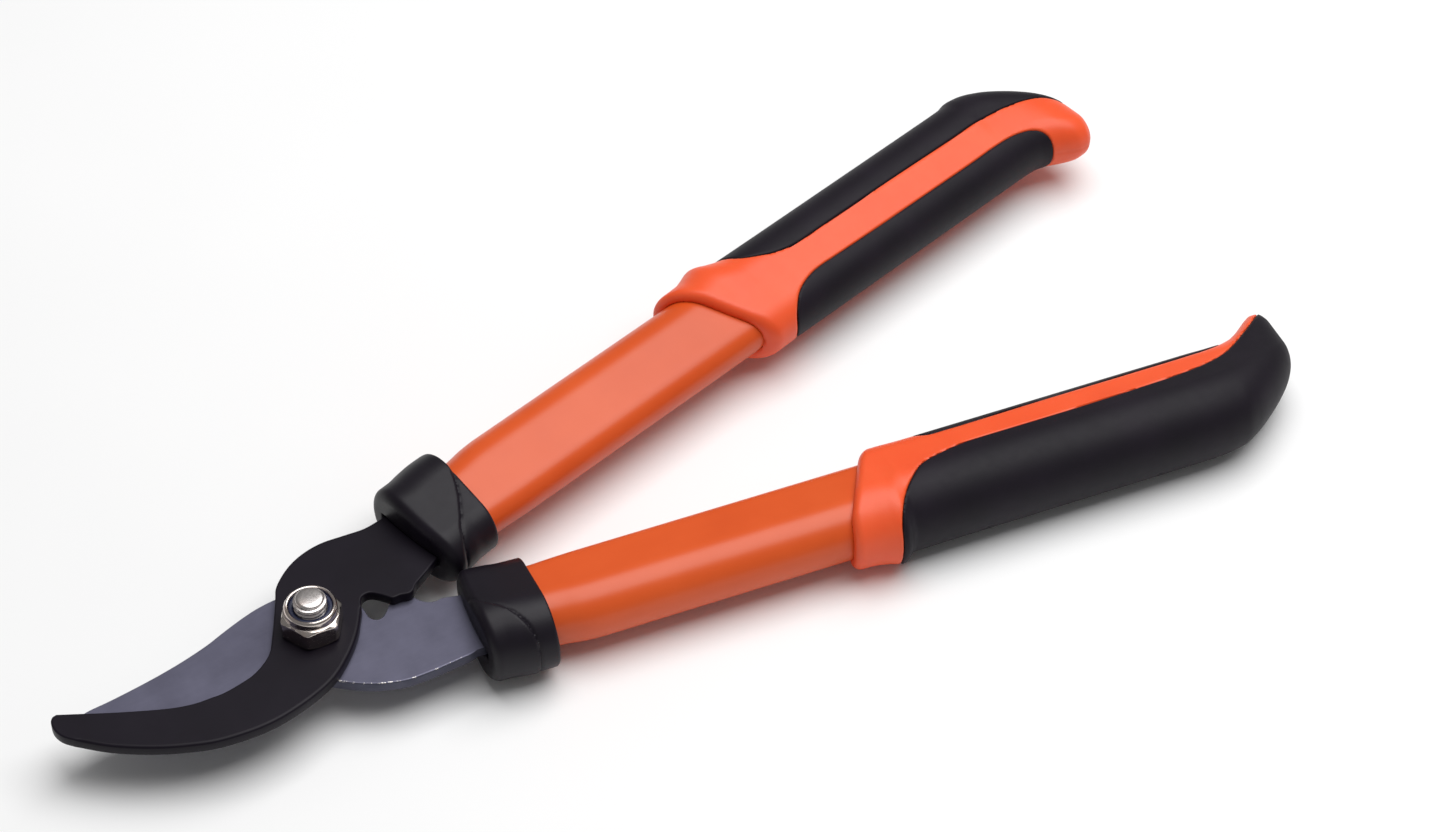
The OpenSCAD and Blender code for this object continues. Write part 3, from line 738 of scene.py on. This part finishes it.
# ---------------------------------------------------------------- tubes
def egg_ring(y_out, y_in, ro, ri):
    """Points round an egg section: outer arc, flat, inner arc and the flat back."""
    co, ci = y_out - ro, y_in - ri
    tilt = math.asin((ro - ri) / (co + ci))
    pts = []
    arc_out, arc_in = math.pi / 2 + tilt, math.pi / 2 - tilt
    m_out, m_in, m_flat = 28, 20, 20
    for i in range(m_out):
        a = -arc_out + 2 * arc_out * i / (m_out - 1)
        pts.append((co + ro * math.cos(a), ro * math.sin(a)))
    inner = []
    for i in range(m_in):
        a = arc_out + 2 * arc_in * i / (m_in - 1)
        inner.append((-ci + ri * math.cos(a), ri * math.sin(a)))
    p, q = pts[-1], inner[0]
    flat = [(p[0] + (q[0] - p[0]) * k / m_flat, p[1] + (q[1] - p[1]) * k / m_flat)
            for k in range(1, m_flat)]
    back = [(x, -z) for x, z in reversed(flat)]
    return pts + flat + inner + back


# How much the tube is pressed in along its length, from its front end on
CRIMP = profile([(50, 1.0), (64, 1.0), (70, 0.72), (76, 0.2), (82, 0.0), (300, 0.0)])


def tube(handle):
    # The tube is straight from here on, so its rings lie further apart
    straight = 90.0
    xs = np.concatenate([np.arange(TUBE_START, straight, 1.5),
                         np.linspace(straight, handle.collar + TUBE_IN_GRIP, 30)])
    rings = []
    for x in xs:
        c = float(CRIMP(x))
        ring = egg_ring(TUBE_W - 1.8 * c, TUBE_W - 0.4 * c, TUBE_RO - 0.5 * c, TUBE_RI - 0.1 * c)
        rings.append([(x, y, z) for y, z in ring])
    verts, faces = rings_mesh(rings)
    obj = make_object(handle.name + "_tube_painted", handle.place(verts), faces, [ORANGE_PAINT], 40.0)
    finish_piece(obj, handle.body, handle.name + "_tube")


# ---------------------------------------------------------------- ferrules
def ferrule(handle):
    """Moulded collar over the tube's end, with a slot for the plate and a slanted crease on top."""
    front, rear = (43.3, 65.0) if handle.side > 0 else (44.4, 65.3)
    slant = 0.06 if handle.side > 0 else 0.0
    y_out = profile([(43, 18.0), (46, 18.4), (50, 18.5), (55, 19.3), (60, 19.9), (64, 20.0), (67, 19.6)])
    y_in = profile([(43, 17.4), (45, 18.7), (47.5, 19.4), (50, 19.3), (54, 18.9), (58, 18.2), (67, 17.8)])
    ro = profile([(43, 11.6), (47, 12.6), (54, 12.9), (67, 12.6)])
    ri = profile([(43, 9.0), (47, 9.9), (54, 9.8), (67, 9.4)])
    if handle.side > 0:
        line = [(40, -60), (44, -32), (47.2, -24), (50, -18.5), (53.1, -13.1), (56.2, -9.6), (60, -4.7),
                (62.6, -0.6), (65.2, 4.6), (69, 14), (74, 30), (30, 60), (20, 0)]
    else:
        line = [(40, -20), (44, -3), (46.4, 0.6), (49.2, 3.5), (51.9, 6), (54.4, 9.1), (57, 13.6),
                (58.6, 17.8), (59.6, 24), (60, 60), (20, 60), (20, -20)]
    # The skin is lower on one side of this line, with a small ridge along it
    crease = polygon_field(line)
    plate_half = (HOOK_HI - HOOK_LO) / 2

    def fn(x, y, z):
        c = crease(x, y)
        skin = -0.42 * step01(0.5 - c / 0.9) + 0.30 * np.exp(-((c - 0.35) / 0.42) ** 2)
        body = egg_distance(y, z, y_out(x), y_in(x), ro(x), ri(x)) + skin
        outer = round_max(body, front - x + 0.004 * (y - 1) ** 2, 2.6)
        outer = round_max(outer, x - rear - slant * y, 0.7)
        slot = np.maximum(np.maximum(np.abs(z) - plate_half - 0.25, np.abs(y) - 12.4), x - 52)
        mouth = round_max(outer, -slot, 0.8)
        bore = np.maximum(egg_distance(y, z, TUBE_W, TUBE_W, TUBE_RO, TUBE_RI), TUBE_START - 0.1 - x)
        return np.maximum(mouth, -bore)

    handle_solid(handle, "_ferrule_moulded", fn, (42.5, -21.5, -14), (67.5, 21.5, 14), 0.5,
                 BLACK_PLASTIC, "_ferrule", 32.0)


# ---------------------------------------------------------------- grips
PAD_DEPTH = 1.6


def grip_section(handle):
    """Half widths outwards and inwards, and the two edge radii, along the grip."""
    c, e, upper = handle.collar, handle.end, handle.side > 0
    # The collar's outer side flares to a peak and falls back over the width
    peak, width = (c + 7.5, 9.0) if upper else (c + 9.0, 4.5)
    out_k = [(c - 14, 18.2), (c - 8, 18.5), (c, 18.8), (peak - 4, 19.8), (peak, 21.05),
             (peak + width * 0.5, 19.3), (peak + width, 17.9), (c + 40, 17.8), (e - 42, 17.7)]
    in_k = [(c - 14, 18.3), (c + 4, 18.6), (c + 12, 19.0), (c + 24, 18.75), (e - 34, 18.75)]
    if upper:
        out_k += [(e - 36, 17.8), (e - 32, 18.6), (e - 28.5, 18.2), (e - 22, 15.6), (e - 16.5, 12.0),
                  (e - 10, 6.6), (e - 5, 1.4), (e - 2.5, -2.2), (e - 1, -5.4), (e, -9.5)]
        in_k += [(e - 27, 18.8), (e - 22, 19.2), (e - 18, 20.6), (e - 15, 22.3), (e - 12, 24.1),
                 (e - 9, 25.4), (e - 6.5, 25.6), (e - 4, 24.4), (e - 2, 21.8), (e - 0.8, 18.4), (e, 13.5)]
    else:
        out_k += [(e - 34, 17.4), (e - 27, 16.3), (e - 22, 14.0), (e - 16.5, 10.3), (e - 10, 5.1),
                  (e - 5, 0.2), (e - 2.5, -3.2), (e - 1, -6.2), (e, -9.8)]
        in_k += [(e - 27, 18.6), (e - 22, 18.6), (e - 18, 19.3), (e - 14, 21.3), (e - 11, 23.5),
                 (e - 8, 25.8), (e - 5.5, 27.2), (e - 3.4, 27.4), (e - 2, 26.0), (e - 0.8, 22.5), (e, 17.0)]
    ro_k = [(c - 14, 13.4), (c, 13.8), (c + 8, 14.2), (c + 18, 13.8), (e - 36, 13.8), (e - 27, 13.4),
            (e - 20, 12.5), (e - 14, 11.3), (e - 9, 9.9), (e - 5, 8.2), (e - 2, 6.0), (e - 0.8, 4.2),
            (e, 2.0)]
    ri_k = [(c - 14, 10.2), (c + 10, 10.7), (c + 22, 10.4), (e - 34, 10.4), (e - 22, 10.4), (e - 14, 10.0),
            (e - 9, 9.0), (e - 5, 7.6), (e - 2, 5.6), (e - 0.8, 4.0), (e, 1.9)]
    return profile(out_k), profile(in_k), profile(ro_k), profile(ri_k)


def pad_regions(handle):
    """Plan outlines of the palm pad and the finger pad, as distance fields."""
    c, e = handle.collar, handle.end
    if handle.side > 0:
        outer_line = [(c + 14.5, 26), (c + 15, 19.5), (c + 16.5, 14), (c + 19.8, 7.2), (c + 26.5, 2.7),
                      (c + 32, 0.8), (c + 38, -0.1), (c + 52, -0.2), (c + 80, -0.4), (e - 48, -0.8),
                      (e - 36, -0.8), (e - 27, -1.4), (e - 20, -2.4), (e - 14, -3.6), (e - 9, -5.0),
                      (e - 5, -7.0), (e - 2, -9.6), (e + 0.5, -13.0), (e + 4, -19)]
        inner_line = [(c + 18.8, -30), (c + 19, -22), (c + 19.6, -18.7), (c + 21.8, -16.2),
                      (c + 25.2, -13.6), (c + 29, -11.9), (c + 34, -10.7), (c + 39, -10.4),
                      (c + 48, -10.6), (c + 70, -10.9), (e - 50, -11.2), (e - 38, -11.1), (e - 29, -11.6),
                      (e - 22, -13.6), (e - 18.4, -17.2), (e - 18, -21.5), (e - 20.5, -26), (e - 24, -32)]
    else:
        outer_line = [(c + 7.2, 26), (c + 7.6, 19.5), (c + 8.4, 16.6), (c + 10, 13.5), (c + 12.2, 10),
                      (c + 15.6, 6), (c + 21.4, 0.8), (c + 27.6, -1.6), (c + 36.5, -3.4), (c + 45, -3.7),
                      (c + 70, -3.7), (e - 54, -4.5), (e - 36, -5.8), (e - 24, -9.1), (e - 14, -15.8),
                      (e - 9, -19.6), (e - 4, -24.4), (e + 3, -34)]
        inner_line = [(c + 25, -30), (c + 25, -20), (c + 26, -17), (c + 29.5, -13.2), (c + 36, -12.8),
                      (c + 46, -12.8), (c + 68, -13.2), (e - 54, -13.4), (e - 34, -13.6), (e - 24, -14.8),
                      (e - 20, -18), (e - 20, -22), (e - 23, -27), (e - 26, -32)]
    outer_poly = np.concatenate([smooth_curve(outer_line, 5), [(e + 30, -30), (e + 30, 40), (c + 7, 40)]])
    inner_poly = np.concatenate([smooth_curve(inner_line, 5), [(e - 26, -44), (c + 18, -44)]])
    return polygon_field(outer_poly), polygon_field(inner_poly)


def grip(handle):
    """Orange moulding with two inlaid pads. All three are cut from one shell."""
    c, e = handle.collar, handle.end
    y_out, y_in, ro, ri = grip_section(handle)
    palm, finger = pad_regions(handle)
    # The collar's front is slanted, and its outer lobe reaches forward by a further share of its width
    slant = 0.52
    reach = 0.10 if handle.side > 0 else -0.30

    def section(x, y, z):
        return egg_distance(y, z, y_out(x), y_in(x), ro(x), ri(x))

    def shell(x, y, z):
        front = c - slant * y - reach * np.maximum(y - 11, 0) - x
        # Where the section shrinks fast along x, the plain value overstates the distance
        slope = (section(x + 0.4, y, z) - section(x - 0.4, y, z)) / 0.8
        body = section(x, y, z) / np.sqrt(1 + slope ** 2)
        body = round_max(body, x - e, 2.0)
        return round_max(body, front, 3.0)

    def dimples(x, y, z):
        """Two small round moulding marks on the outer side."""
        mark = 0.0
        for mx, mz in ((c + 38, -6.0), (c + 96, -6.0)):
            mark = mark + 0.45 * np.exp(-(((x - mx) / 1.1) ** 2 + ((z - mz) / 1.1) ** 2)) * (y > 8)
        return mark

    def core_fn(x, y, z):
        body = shell(x, y, z)
        both = np.minimum(palm(x, y), finger(x, y))
        # A faint parting line runs round the end
        seam = 0.18 * np.exp(-(z / 0.35) ** 2) * step01((x - e + 22) / 6)
        solid = np.minimum(body + PAD_DEPTH, round_max(body + seam, 0.08 - both, 0.4))
        play = 0.05
        tube_hole = egg_distance(y, z, TUBE_W + play, TUBE_W + play, TUBE_RO + play, TUBE_RI + play)
        return np.maximum(solid, -np.maximum(tube_hole, x - c - TUBE_IN_GRIP))

    def pad_fn(region):
        def fn(x, y, z):
            body = shell(x, y, z)
            top = round_max(body - 0.06 + dimples(x, y, z), region(x, y) + 0.06, 0.55)
            return np.maximum(top, -(body + PAD_DEPTH - 0.05))
        return fn

    handle_solid(handle, "_grip_moulding", core_fn, (c - 13, -30, -16), (e + 2, 23, 16), 0.58,
                 ORANGE_PLASTIC, "_grip_core", 48.0)
    handle_solid(handle, "_palm_pad", pad_fn(palm), (c + 4, -30, -16), (e + 2, 23, 16), 0.5,
                 BLACK_RUBBER, "_outer_pad", 48.0)
    handle_solid(handle, "_finger_pad", pad_fn(finger), (c + 14, -28, -14), (e - 12, -8, 14), 0.5,
                 BLACK_RUBBER, "_inner_pad", 48.0)


def fitted_plug(handle):
    """The CAD plug, pressed in on its outer side to follow the tube's narrowed end."""
    node = handle.name + "_tang_plug"
    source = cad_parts[node].data
    v = np.array([tuple(p.co) for p in source.vertices]) / MM
    flat = v[:, :2] * [1, handle.side]
    x = flat[:, 0] * math.cos(SPLAY) + flat[:, 1] * math.sin(SPLAY)
    y = -flat[:, 0] * math.sin(SPLAY) + flat[:, 1] * math.cos(SPLAY) - handle.offset
    # The press grows from the middle to the plug's outer side, 13.8 mm out
    y = y - 2.0 * CRIMP(x) * np.clip(y / 13.8, 0, 1)
    z = (v[:, 2] - handle.mid) * (1 - 0.06 * CRIMP(x))
    obj = make_object(node + "_fitted", handle.place(np.stack([x, y, z], 1)),
                      [tuple(p.vertices) for p in source.polygons], [GREY_NYLON], 30.0)
    finish_piece(obj, handle.body, node)


def rivets(handle):
    """The rivets keep their CAD shape and get their own metal."""
    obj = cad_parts[handle.name + "_rivets"]
    obj.data.materials.clear()
    obj.data.materials.append(RIVET_STEEL)


for side in (UPPER, LOWER):
    tube(side)
    ferrule(side)
    grip(side)

for side in (UPPER, LOWER):
    fitted_plug(side)
    rivets(side)


# ---------------------------------------------------------------- floor, light and camera
def floor():
    """Plain pale floor just under the lowest point. Its lengths are in metres."""
    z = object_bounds()[0][2] - 0.0002
    size = 6.0
    mesh = bpy.data.meshes.new("floor")
    mesh.from_pydata([(-size, -size, z), (size, -size, z), (size, size, z), (-size, size, z)], [],
                     [(0, 1, 2, 3)])
    obj = bpy.data.objects.new("floor", mesh)
    bpy.context.scene.collection.objects.link(obj)
    mat, nt, shader, coords = new_material("floor_pale", 0.85)
    tone = ramp(nt, noise(nt, coords, 3.0), [(0.3, grey(0.9)), (0.7, grey(0.94))])
    nt.links.new(tone, shader.inputs["Base Color"])
    mesh.materials.append(mat)
    obj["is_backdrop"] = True


floor()


def softbox():
    """One large soft light behind and above the grips. Lengths in metres, power in watts."""
    data = bpy.data.lights.new("softbox", "AREA")
    data.size = 1.4
    data.energy = 24.0
    place, aim = Vector((0.50, 0.0, 1.35)), Vector((0.12, 0.0, 0.01))
    obj = bpy.data.objects.new("softbox", data)
    obj.location = place
    obj.rotation_euler = (aim - place).to_track_quat("-Z", "Y").to_euler()
    bpy.context.scene.collection.objects.link(obj)


softbox()

world = bpy.data.worlds.new("studio")
world.use_nodes = True
world.node_tree.nodes["Background"].inputs["Color"].default_value = (1, 1, 1, 1)
world.node_tree.nodes["Background"].inputs["Strength"].default_value = 0.22
bpy.context.scene.world = world
bpy.context.scene.view_settings.view_transform = "Standard"
bpy.context.scene.view_settings.look = "None"


def camera():
    """Long lens that looks down on the tool from the hook's side. Lengths in metres."""
    data = bpy.data.cameras.new("camera")
    data.sensor_fit = "HORIZONTAL"
    data.sensor_width = 36.0
    data.lens = 96.6
    data.clip_end = 20.0
    obj = bpy.data.objects.new("camera", data)
    target = Vector((0.14955, 0.00836, BLADE_HI * MM))
    place = Vector((-0.307, -0.689, BLADE_HI * MM + 0.868))
    turn = (target - place).to_track_quat("-Z", "Y").to_matrix()
    roll = Matrix.Rotation(math.radians(-0.15), 3, "Z")
    obj.matrix_world = Matrix.Translation(place) @ (turn @ roll).to_4x4()
    bpy.context.scene.collection.objects.link(obj)
    bpy.context.scene.camera = obj


camera()
